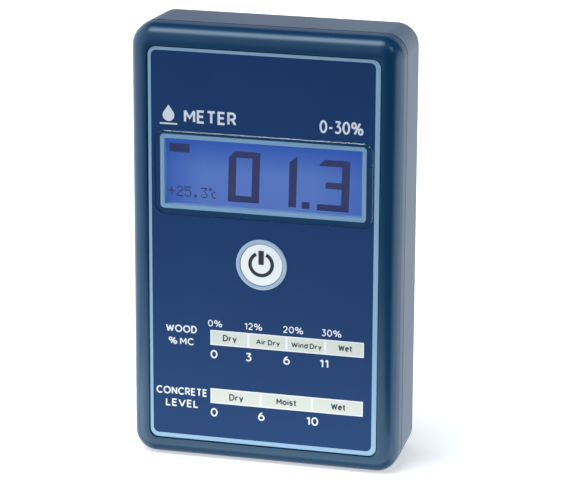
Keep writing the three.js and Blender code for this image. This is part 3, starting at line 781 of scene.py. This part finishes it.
def scale_bars():
    cells, lines = bmesh.new(), bmesh.new()
    for scale in SCALES:
        low, high = scale["z0"], scale["z1"]
        outer = rect(scale["x0"], scale["x1"], low, high, 0.06)
        add_frame_print(lines, outer, grown(outer, -SCALE_LINE), INK_TOP, LABEL_FACE, steps=1)
        for x in scale["dividers"]:
            add_block(lines, (x - DIVIDER / 2, INK_TOP, low + SCALE_LINE),
                      (x + DIVIDER / 2, LABEL_FACE, high - SCALE_LINE))
        for x0, x1 in scale_cells(scale):
            add_block(cells, (x0, INK_TOP, low + SCALE_LINE), (x1, LABEL_FACE, high - SCALE_LINE))
    place(mesh_object("scale_cells", cells), "case", MATERIALS["scale_ink"])
    place(mesh_object("scale_lines", lines), "case", MATERIALS["white_ink"])


def arc(cx, cz, rx, rz, start, end, steps=14):
    """Points on an ellipse's arc, for letters one unit tall."""
    turns = (math.radians(start + (end - start) * i / steps) for i in range(steps + 1))
    return [(cx + rx * math.cos(a), cz + rz * math.sin(a)) for a in turns]


# Each sign is a set of pen strokes on a unit cap height; a stroke that ends where it starts closes.
LETTERS = {
    "A": [[(0, 0), (0.43, 1), (0.86, 0)], [(0.14, 0.32), (0.72, 0.32)]],
    "C": [arc(0.5, 0.5, 0.5, 0.5, 45, 315)],
    "D": [[(0, 0), (0, 1), (0.3, 1)] + arc(0.3, 0.5, 0.45, 0.5, 90, -90) + [(0, 0)]],
    "E": [[(0.56, 0), (0, 0), (0, 1), (0.56, 1)], [(0, 0.52), (0.5, 0.52)]],
    "L": [[(0, 1), (0, 0), (0.54, 0)]],
    "M": [[(0, 0), (0, 1), (0.44, 0.35), (0.88, 1), (0.88, 0)]],
    "N": [[(0, 0), (0, 1), (0.74, 0), (0.74, 1)]],
    "O": [arc(0.52, 0.5, 0.52, 0.5, 0, 360, 24)],
    "R": [[(0, 0), (0, 1), (0.34, 1)] + arc(0.34, 0.72, 0.28, 0.28, 90, -90) + [(0, 0.44)],
          [(0.34, 0.44), (0.66, 0)]],
    "T": [[(0, 1), (0.7, 1)], [(0.35, 1), (0.35, 0)]],
    "V": [[(0, 1), (0.42, 0), (0.84, 1)]],
    "W": [[(0, 1), (0.3, 0), (0.6, 0.92), (0.9, 0), (1.2, 1)]],
    "d": [arc(0.3, 0.35, 0.3, 0.35, 0, 360, 20), [(0.6, 0), (0.6, 1)]],
    "e": [[(0.02, 0.37)] + arc(0.31, 0.35, 0.31, 0.35, 5, 315)],
    "i": [[(0, 0), (0, 0.7)], [(0, 0.92), (0, 1.04)]],
    "n": [[(0, 0), (0, 0.7)], [(0, 0.4)] + arc(0.27, 0.42, 0.27, 0.28, 180, 0) + [(0.54, 0)]],
    "o": [arc(0.34, 0.35, 0.34, 0.35, 0, 360, 20)],
    "r": [[(0, 0), (0, 0.7)], arc(0.3, 0.36, 0.3, 0.32, 175, 80, 6)],
    "s": [arc(0.24, 0.53, 0.22, 0.17, 35, 265) + arc(0.25, 0.18, 0.25, 0.18, 85, -150)],
    "t": [[(0.17, 0.95), (0.17, 0.18)] + arc(0.36, 0.18, 0.19, 0.18, 190, 285, 6),
          [(-0.06, 0.7), (0.44, 0.7)]],
    "y": [[(0, 0.7), (0.3, 0.02)], [(0.6, 0.7), (0.2, -0.26)]],
    "0": [arc(0.34, 0.5, 0.34, 0.5, 0, 360, 24)],
    "1": [[(0, 0.8), (0.28, 1), (0.28, 0)]],
    "2": [arc(0.31, 0.7, 0.3, 0.3, 165, -35) + [(0, 0), (0.64, 0)]],
    "3": [[(0.03, 1), (0.58, 1), (0.28, 0.6)] + arc(0.28, 0.3, 0.32, 0.3, 90, -145)],
    "6": [arc(0.33, 0.32, 0.33, 0.32, 0, 360, 20), arc(0.56, 0.34, 0.55, 0.66, 100, 175, 8)],
    "%": [arc(0.22, 0.76, 0.22, 0.24, 0, 360, 16), arc(1.0, 0.24, 0.22, 0.24, 0, 360, 16),
          [(0.92, 1), (0.3, 0)]],
    "-": [[(0, 0.42), (0.36, 0.42)]],
}
LETTER_GAP = 0.2
STROKE_LIFT = 0.004                # crossing strokes lie at different heights, in mm
WORD_GAP = 0.3
SHARP_TURN = math.radians(115)


def add_stroke(bm, points, width, y_top, y_back):
    """A flat printed line of even width along (x, z) points in mm, with mitred turns."""
    path = [Vector(points[0])]
    path += [Vector(b) for a, b in zip(points, points[1:]) if math.dist(a, b) > 1e-4]
    closed = (path[0] - path[-1]).length < 1e-6
    if closed:
        path.pop()
    count = len(path)
    ways = [(path[(i + 1) % count] - path[i]).normalized() for i in range(count)]
    rings = []
    for i, point in enumerate(path):
        before = ways[i - 1] if closed or i > 0 else ways[0]
        after = ways[i] if closed or i < count - 1 else ways[i - 1]
        across = Vector((-before.y - after.y, before.x + after.x)).normalized()
        square_to = Vector((-after.y, after.x))
        reach = across * (width / 2 / max(across.dot(square_to), 0.7))
        left, right = point + reach, point - reach
        corners = ((left, y_top), (right, y_top), (right, y_back), (left, y_back))
        rings.append([Vector((side.x, y, side.y)) for side, y in corners])
    add_loft(bm, rings, closed)


def runs_between_corners(points):
    """Breaks a stroke at its sharp turns, so that each run keeps its full width to the end."""
    runs = [[points[0]]]
    for before, here, after in zip(points, points[1:], points[2:]):
        runs[-1].append(here)
        arriving = Vector(here) - Vector(before)
        leaving = Vector(after) - Vector(here)
        if min(arriving.length, leaving.length) > 1e-4 and arriving.angle(leaving) > SHARP_TURN:
            runs.append([here])
    runs[-1].append(points[-1])
    return runs


def add_word(bm, text, x0, x1, z0, z1, weight, y_back=LABEL_FACE):
    """Printed text fitted to a box in mm; weight is its line width."""
    gap = LETTER_GAP + weight / (z1 - z0)
    pen, strokes = 0.0, []
    for letter in text:
        if letter == " ":
            pen += WORD_GAP
            continue
        shape = LETTERS[letter]
        strokes += [[(pen + x, z) for x, z in run]
                    for stroke in shape for run in runs_between_corners(stroke)]
        pen += max(x for stroke in shape for x, _ in stroke) + gap
    xs = [x for stroke in strokes for x, _ in stroke]
    zs = [z for stroke in strokes for _, z in stroke]
    wide = (x1 - x0 - weight) / (max(xs) - min(xs))
    tall = (z1 - z0 - weight) / (max(zs) - min(zs))
    left, low = x0 + weight / 2, z0 + weight / 2
    for layer, stroke in enumerate(strokes):
        fitted = [(left + (x - min(xs)) * wide, low + (z - min(zs)) * tall) for x, z in stroke]
        add_stroke(bm, fitted, weight, y_back - INK - layer % 3 * STROKE_LIFT, y_back)


# Text, its box (x from, x to, z from, z to) and its line width, in mm.
WHITE_WORDS = (
    ("METER", -23.6, -8.0, 102.0, 105.9, 0.68),
    ("0-30%", 16.4, 29.2, 101.7, 105.5, 0.58),
    ("WOOD", -29.4, -20.0, 38.66, 40.96, 0.42),
    ("% MC", -28.6, -20.9, 34.9, 37.1, 0.38),
    ("CONCRETE", -32.45, -16.9, 19.3, 21.67, 0.42),
    ("LEVEL", -29.6, -19.6, 15.6, 17.95, 0.42),
    ("0%", -16.6, -12.3, 41.2, 43.3, 0.3),
    ("12%", -5.56, -0.26, 41.2, 43.3, 0.3),
    ("20%", 5.97, 12.04, 41.2, 43.3, 0.3),
    ("30%", 17.5, 23.4, 41.2, 43.3, 0.3),
    ("0", -15.85, -13.75, 31.5, 34.1, 0.45),
    ("3", -5.25, -3.45, 31.5, 34.1, 0.45),
    ("6", 6.1, 8.1, 31.5, 34.1, 0.45),
    ("11", 17.0, 19.6, 31.5, 34.1, 0.45),
    ("0", -15.85, -13.75, 13.45, 16.1, 0.45),
    ("6", -1.46, 0.54, 13.45, 16.1, 0.45),
    ("10", 13.1, 16.7, 13.45, 16.1, 0.45),
)
DARK_WORDS = (
    ("Dry", -12.1, -7.9, 36.6, 39.0, 0.36),
    ("Air Dry", -2.1, 5.1, 36.65, 38.65, 0.3),
    ("Wind Dry", 8.5, 17.6, 36.65, 38.65, 0.3),
    ("Wet", 22.5, 26.7, 37.1, 39.0, 0.36),
    ("Dry", -10.2, -5.9, 18.4, 20.9, 0.36),
    ("Moist", 4.1, 10.2, 18.95, 20.95, 0.36),
    ("Wet", 20.5, 24.9, 18.95, 20.95, 0.36),
)


def printed_words():
    white, dark = bmesh.new(), bmesh.new()
    for text, x0, x1, z0, z1, weight in WHITE_WORDS:
        add_word(white, text, x0, x1, z0, z1, weight)
    for text, x0, x1, z0, z1, weight in DARK_WORDS:
        add_word(dark, text, x0, x1, z0, z1, weight, y_back=INK_TOP)
    add_drop_sign(white)
    place(mesh_object("words_white", white), "case", MATERIALS["white_ink"])
    place(mesh_object("words_dark", dark), "case", MATERIALS["dark_ink"])


def add_drop_sign(bm):
    """A plain water drop with a line under it."""
    cx, cz, radius, tip = -28.2, 103.9, 1.75, 107.0
    touch = math.acos(radius / (tip - cz))
    start, end = math.pi / 2 + touch, math.pi / 2 + 2 * math.pi - touch
    turns = [start + (end - start) * i / 28 for i in range(29)]
    outline = [(cx + radius * math.cos(a), cz + radius * math.sin(a)) for a in turns]
    add_prism(bm, outline + [(cx, tip)], INK_TOP, LABEL_FACE)
    add_block(bm, (cx - 2.6, INK_TOP, 101.2), (cx + 2.6, LABEL_FACE, 101.65))


# ---------- display

WINDOW_PRINT = 0.15                # thickness of the navy surround behind the clear face
WINDOW_CHAMFER = 0.34              # width of the clear face's polished edge


def window_plate():
    low, high = WINDOW_LOW.y, WINDOW_HIGH.y - WINDOW_PRINT - 0.01
    plate = loft("window_plate", [
        ring(WINDOW_RECT, high),
        ring(WINDOW_RECT, low + WINDOW_CHAMFER),
        ring(grown(WINDOW_RECT, -WINDOW_CHAMFER), low),
    ])
    place(soften(plate), "case", MATERIALS["window"], ["display_window"])


def window_surround():
    bm = bmesh.new()
    inner = grown(FRAME_RECT, 0.02)
    add_frame_print(bm, WINDOW_RECT, inner, WINDOW_HIGH.y - WINDOW_PRINT, WINDOW_HIGH.y)
    surround = mesh_object("window_surround", bm)
    place(soften(surround), "case", MATERIALS["window_print"])


FRAME_WIDTH = 1.3


def display_frame_ring():
    low, high = WINDOW_HIGH.y - WINDOW_PRINT, FRAME_HIGH.y
    inner = grown(FRAME_RECT, -FRAME_WIDTH)
    frame_ring = loft("display_frame_ring", [
        ring(FRAME_RECT, high),
        ring(FRAME_RECT, low + 0.08),
        ring(grown(FRAME_RECT, -0.08), low),
        ring(grown(inner, 0.12), low),
        ring(inner, low + 0.12),
        ring(inner, high),
    ], closed=True)
    material = MATERIALS["display_frame"]
    place(soften(frame_ring), "case", material, ["display_frame"])


def display_glass():
    glass_rect = box_rect(GLASS_LOW, GLASS_HIGH, 0.3)
    glass = loft("display_glass", [
        ring(glass_rect, GLASS_HIGH.y, 4),
        ring(glass_rect, GLASS_LOW.y + 0.1, 4),
        ring(grown(glass_rect, -0.1), GLASS_LOW.y, 4),
    ])
    place(soften(glass), "case", MATERIALS["display"], ["lcd_glass"])


DIGIT = {"wide": 9.3, "tall": 15.1, "upright": 2.3, "level": 1.9, "slant": 0.026}


def digit_segments():
    """Each segment's outline, from the digit's lower left corner."""
    w, h, u, v = (DIGIT[k] for k in ("wide", "tall", "upright", "level"))
    mid = h / 2
    return {
        "a": [(0.1, h - v), (w - u, h - v), (w - 0.45, h), (1.75, h)],
        "b": [(w - u, mid), (w, mid), (w, h - 0.1), (w - 0.35, h - 0.1), (w - u, h - v)],
        "c": [(w - u, 0), (w, 0), (w, mid), (w - u, mid)],
        "d": [(0, 0), (w - u, 0), (w - u, v), (0, v)],
        "e": [(0, v), (u, v), (u, mid), (0, mid)],
        "f": [(0, mid), (u, mid), (u, h - v), (0, h - v)],
        "g": [(u, mid - v / 2), (w - u, mid - v / 2), (w - u, mid + v / 2), (u, mid + v / 2)],
    }


# The big digits: lit segments, and the x and z of the lower left corner.
DIGITS = (("abcdef", -11.2, 78.9), ("bc", -0.2, 78.6), ("abcdg", 15.3, 78.2))
# The decimal point and the minus sign: x from, x to, z from, z to.
BAR_SIGNS = ((10.75, 13.1, 78.4, 80.4), (-28.6, -22.6, 92.55, 95.15))
# The small reading, as rows of dots: plus, 2, 5, point, 3, degrees C.
SMALL_SIGNS = (
    ("00000", "00100", "00100", "11111", "00100", "00100", "00000"),
    ("01110", "10001", "00001", "00110", "01000", "10000", "11111"),
    ("11111", "10000", "11110", "00001", "00001", "10001", "01110"),
    ("00000", "00000", "00000", "00000", "00000", "01100", "01100"),
    ("11111", "00010", "00100", "00010", "00001", "10001", "01110"),
    ("11000", "11000", "00011", "00100", "00100", "00100", "00011"),
)
DOT = {"x": -29.0, "z": 82.5, "across": 0.405, "down": 0.45, "size": 0.39, "slope": 0.008}
DOTS_PER_SIGN = 6


def display_segments():
    bm = bmesh.new()
    top, back = GLASS_LOW.y - 0.02, GLASS_LOW.y
    shapes = digit_segments()
    for lit, x0, z0 in DIGITS:
        for name in lit:
            outline = [(x0 + x + DIGIT["slant"] * z, z0 + z) for x, z in shapes[name]]
            add_prism(bm, outline, top, back)
    for x0, x1, z0, z1 in BAR_SIGNS:
        add_block(bm, (x0, top, z0), (x1, back, z1))
    for index, rows in enumerate(SMALL_SIGNS):
        for row, line in enumerate(rows):
            for column in (i for i, dot in enumerate(line) if dot == "1"):
                x = DOT["x"] + DOT["across"] * (DOTS_PER_SIGN * index + column)
                z = DOT["z"] - DOT["down"] * row - DOT["slope"] * (x - DOT["x"])
                add_block(bm, (x, top, z - DOT["size"]), (x + DOT["size"], back, z))
    segments = mesh_object("display_segments", bm)
    place(segments, "case", MATERIALS["segments"])


# ---------- key


def lathe(name, profile, x, z, steps=96, closed=False):
    return loft(name, [circle(x, z, max(radius, 0.01), y, steps) for radius, y in profile], closed)


CROWN_STEPS = (0.9, 0.8, 0.65, 0.5, 0.35, 0.2, 0.08)


def key_cap():
    back = KEY_HIGH.y
    crown, rim, edge = FRONT + SIGN_PROUD, FRONT + KEY_CROWN, KEY_EDGE
    flange = back - KEY_FLANGE_THICKNESS
    profile = [(KEY_FLANGE, back), (KEY_FLANGE, flange), (KEY_RADIUS, flange),
               (KEY_RADIUS, rim + edge)]
    for a in QUARTER_TURN[1:]:
        profile.append((KEY_RADIUS - edge * (1 - math.cos(a)), rim + edge * (1 - math.sin(a))))
    for t in CROWN_STEPS:
        profile.append((KEY_RADIUS * t, crown + (rim - crown) * t ** 3))
    cap = lathe("key_cap", profile, KEY_X, KEY_Z)
    place(soften(cap), "power_key", MATERIALS["key"], ["power_button"])


KEY_SIGN = {"x": KEY_X - 0.05, "z": KEY_Z + 0.2, "outer": 3.83, "inner": 2.8,
            "opening": math.radians(27), "bar_half": 0.8, "bar_low": -0.1, "bar_high": 4.1}


def key_sign():
    """The standby sign: an open ring and a bar."""
    bm = bmesh.new()
    top, back = FRONT, FRONT + KEY_CROWN / 2
    x, z, opening, half = (KEY_SIGN[k] for k in ("x", "z", "opening", "bar_half"))
    turns = [math.pi / 2 + opening + (2 * math.pi - 2 * opening) * i / 60 for i in range(61)]
    outline = [(x + radius * math.cos(a), z + radius * math.sin(a))
               for radius, angles in ((KEY_SIGN["outer"], turns), (KEY_SIGN["inner"], turns[::-1]))
               for a in angles]
    add_prism(bm, outline, top, back)
    low, high = z + KEY_SIGN["bar_low"], z + KEY_SIGN["bar_high"]
    add_block(bm, (x - half, top, low), (x + half, back, high))
    sign = mesh_object("key_sign", bm)
    place(sign, "power_key", MATERIALS["key_sign"])


BEZEL = {"bore": 6.45, "sleeve": 6.95, "round_from": 7.3, "round": 0.3}


def key_ring():
    back, face = BEZEL_HIGH.y, FRONT
    bore, sleeve = BEZEL["bore"], BEZEL["sleeve"]
    profile = [(bore, back), (bore, face + 0.16), (bore + 0.05, face + 0.05), (bore + 0.17, face)]
    for a in QUARTER_TURN:
        profile.append((BEZEL["round_from"] + BEZEL["round"] * math.sin(a),
                        face + 0.28 * (1 - math.cos(a))))
    profile += [(sleeve, LABEL_FACE - 0.01), (sleeve, back)]
    bezel = lathe("key_ring", profile, KEY_X, KEY_Z, closed=True)
    place(soften(bezel), "case", MATERIALS["bezel"], ["button_bezel"])


# ---------- contact pads and screws


def contact_pads():
    for name, (low, high) in zip(("left", "right"), ELECTRODES):
        pad_rect = box_rect(low, high, ELECTRODE_RADIUS)
        pad = loft(f"contact_pad_{name}", [
            ring(pad_rect, low.y),
            ring(pad_rect, high.y - 0.3),
            ring(grown(pad_rect, -0.09), high.y - 0.09),
            ring(grown(pad_rect, -0.3), high.y),
        ])
        material = MATERIALS["electrode"]
        place(soften(pad), "case", material, [f"electrode_{name}"])


SCREW = {"shaft": 1.45, "tip": 0.6, "length": 20, "head": 2.6, "rim": 0.9, "dome": 1.1}
SCREW_SLOTS = ((1.6, 0.32), (0.32, 1.6))        # half sizes of the cross recess


def add_screw_slot(bm, middle, turn, half_wide, half_tall, y0, y1):
    corners = [turn @ Vector((sx * half_wide, 0, sz * half_tall))
               for sx, sz in ((-1, -1), (1, -1), (1, 1), (-1, 1))]
    add_loft(bm, [[middle + corner + Vector((0, y, 0)) for corner in corners] for y in (y0, y1)])


def case_screws():
    seat = REAR - COUNTERBORE["depth"] + 0.05
    shaft, head, slot_floor = SCREW["shaft"], SCREW["head"], seat + SCREW["rim"]
    point = seat - SCREW["length"]
    profile = [(SCREW["tip"], point), (shaft, point + 1), (shaft, seat), (head, seat),
               (head, slot_floor)]
    for i in range(1, 7):
        a = math.radians(13 * i)
        profile.append((head * math.cos(a), slot_floor + SCREW["dome"] * math.sin(a)))
    for index, (x, z) in enumerate(screw_places("case_screw"), 1):
        screw = lathe(f"case_screw_head_{index}", profile, x, z, 48)
        turn = Matrix.Rotation(math.radians(17 + 31 * index), 4, "Y")
        for half_wide, half_tall in SCREW_SLOTS:
            cut(screw, add_screw_slot, Vector((x, 0, z)), turn, half_wide, half_tall,
                slot_floor, seat + 3)
        clean(screw)
        place(soften(screw), "case", MATERIALS["steel"], [f"case_screw_{index}"])


# ---------- CAD pieces kept as they are

KEPT = {
    "light_guide": ("light_guide", "backlight_led"),
    "black": ("lcd_holder", "processor", "regulator", "temperature_sensor", "power_switch",
              "switch_plunger", "battery_terminal_board", "battery_snap"),
    "strip": ("contact_strip_top", "contact_strip_bottom"),
    "board": ("circuit_board",),
    "can": ("crystal", "capacitor"),
    "brass": ("electrode_post_left", "electrode_post_right"),
    "steel": ("battery_terminal_positive", "battery_terminal_negative",
              *(f"board_screw_{i}" for i in range(1, 5))),
    "battery": ("battery_jacket",),
    "cells": ("battery_cells",),
    "red_wire": ("lead_red",),
    "black_wire": ("lead_black",),
    "foam": ("door_foam_pad",),
}


def dress_cad_pieces():
    for material, nodes in KEPT.items():
        for node in nodes:
            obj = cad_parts[node]
            obj.data.materials.clear()
            obj.data.materials.append(MATERIALS[material])


# ---------- stage, light and camera


def floor():
    """A pale floor that only the camera sees: the tent below lights the object's underside."""
    bm = bmesh.new()
    bmesh.ops.create_circle(bm, cap_ends=True, segments=96, radius=6.0)
    ground = mesh_object("floor", bm)
    s = Shader("floor", (0.86, 0.86, 0.86, 1.0), 0.8)
    pale, paler = (0.85, 0.85, 0.85, 1.0), (0.87, 0.87, 0.87, 1.0)
    s.colour(s.ramp(s.noise(300, detail=1), [(0.3, pale), (0.7, paler)]))
    s.main.inputs["Emission Color"].default_value = (1.0, 1.0, 1.0, 1.0)
    s.main.inputs["Emission Strength"].default_value = 0.5
    ground.data.materials.append(s.material)
    for ray in ("diffuse", "glossy", "transmission", "shadow"):
        setattr(ground, f"visible_{ray}", False)


# The studio is a tent of soft pale lights. Each has a direction, two angles in degrees off that
# direction, full brightness within the first and none beyond the second, and its brightness.
TENT = (
    ((0.1, 0.95, -0.42), 24, 56, 1.0),
    ((0.93, 0.2, -0.25), 25, 45, 2.3),
    ((-1.0, 0.05, -0.15), 35, 78, 1.6),
    ((0.0, 0.0, -1.0), 30, 62, 0.7),
    ((-0.6, -0.65, 0.45), 20, 50, 0.9),
    ((-0.2, -0.25, 0.95), 8, 21, 9.0),
    ((0.6, -0.35, 0.7), 4, 10, 6.5),
)
TENT_DARK = 0.05
STUDIO_COLOUR = (0.91, 0.985, 1.05, 1.0)
# Light that the pale table throws back up at the front.
TABLE_GLOW = {"middle": (-0.02, -0.0725, 0.001), "size": (0.16, 0.115), "watts": 0.125,
              "colour": (1.0, 0.9, 0.76)}


def tent():
    world = bpy.data.worlds.new("studio")
    bpy.context.scene.world = world
    world.use_nodes = True
    tree = world.node_tree
    direction = tree.nodes.new("ShaderNodeTexCoord").outputs["Generated"]
    brightest = tree.nodes.new("ShaderNodeValue").outputs[0]
    brightest.default_value = TENT_DARK
    for towards, full, gone, strength in TENT:
        facing = tree.nodes.new("ShaderNodeVectorMath")
        facing.operation = "DOT_PRODUCT"
        facing.inputs[1].default_value = Vector(towards).normalized()
        tree.links.new(direction, facing.inputs[0])
        fade = tree.nodes.new("ShaderNodeMapRange")
        fade.interpolation_type = "SMOOTHSTEP"
        fade.inputs["From Min"].default_value = math.cos(math.radians(gone))
        fade.inputs["From Max"].default_value = math.cos(math.radians(full))
        fade.inputs["To Max"].default_value = strength
        tree.links.new(facing.outputs["Value"], fade.inputs["Value"])
        larger = tree.nodes.new("ShaderNodeMath")
        larger.operation = "MAXIMUM"
        tree.links.new(brightest, larger.inputs[0])
        tree.links.new(fade.outputs["Result"], larger.inputs[1])
        brightest = larger.outputs[0]
    tree.links.new(brightest, tree.nodes["Background"].inputs["Strength"])
    tree.nodes["Background"].inputs["Color"].default_value = STUDIO_COLOUR


def table_glow():
    table = bpy.data.lights.new("table_glow", "AREA")
    table.shape = "RECTANGLE"
    table.size, table.size_y = TABLE_GLOW["size"]
    table.energy = TABLE_GLOW["watts"]
    table.color = TABLE_GLOW["colour"]
    glow = bpy.data.objects.new("table_glow", table)
    glow.location = TABLE_GLOW["middle"]
    glow.rotation_euler = (math.pi, 0, 0)
    glow.visible_camera = False
    bpy.context.scene.collection.objects.link(glow)


CAMERA = {"azimuth": 14.39, "elevation": 16.51, "roll": 0.286}
CAMERA_PLACE = (0.2117, -0.80865, 0.3128)
SENSOR_WIDTH = 36.0
LENS = 187.767
SHIFT = (-0.00542, -0.00063)


def camera():
    azimuth, elevation = (math.radians(CAMERA[k]) for k in ("azimuth", "elevation"))
    ahead = Vector((-math.sin(azimuth) * math.cos(elevation),
                    math.cos(azimuth) * math.cos(elevation), -math.sin(elevation)))
    data = bpy.data.cameras.new("camera")
    data.sensor_width = SENSOR_WIDTH
    data.lens = LENS
    data.shift_x, data.shift_y = SHIFT
    data.clip_start, data.clip_end = 0.01, 50
    made = bpy.data.objects.new("camera", data)
    made.location = CAMERA_PLACE
    made.rotation_mode = "QUATERNION"
    roll = Matrix.Rotation(math.radians(CAMERA["roll"]), 4, "Z").to_quaternion()
    made.rotation_quaternion = ahead.to_track_quat("-Z", "Y") @ roll
    bpy.context.scene.collection.objects.link(made)
    bpy.context.scene.camera = made


# ---------- making

camera()
tent()
table_glow()
floor()
front_shell()
rear_shell()
battery_door()
label_sheet()
label_border()
scale_bars()
printed_words()
window_plate()
window_surround()
display_frame_ring()
display_glass()
display_segments()
key_cap()
key_sign()
key_ring()
contact_pads()
case_screws()
dress_cad_pieces()

bpy.context.scene.view_settings.view_transform = "Standard"
